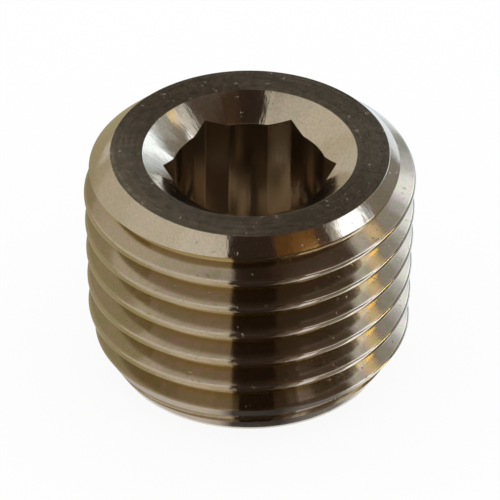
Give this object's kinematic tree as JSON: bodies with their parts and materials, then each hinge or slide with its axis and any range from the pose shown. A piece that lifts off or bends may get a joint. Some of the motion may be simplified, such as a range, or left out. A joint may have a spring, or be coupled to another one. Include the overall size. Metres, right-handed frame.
{
  "type": "hex socket pipe plug",
  "caption": "Round pipe plug with a taper thread over its whole length, chamfered ends and a countersunk hexagon socket.",
  "frame": {"origin": "centre of the flat face of the small end, which the plug stands on", "axes": "+Z along the thread's axis, from the small end to the socket; two corners of the hexagon lie on the X axis"},
  "size_m": [0.0133, 0.0132, 0.0098],
  "materials": {
    "nickel_plated_brass": "nickel-plated, fine turned"
  },
  "bodies": {
    "root": {"plug_body": "nickel_plated_brass"}
  },
  "joints": []
}
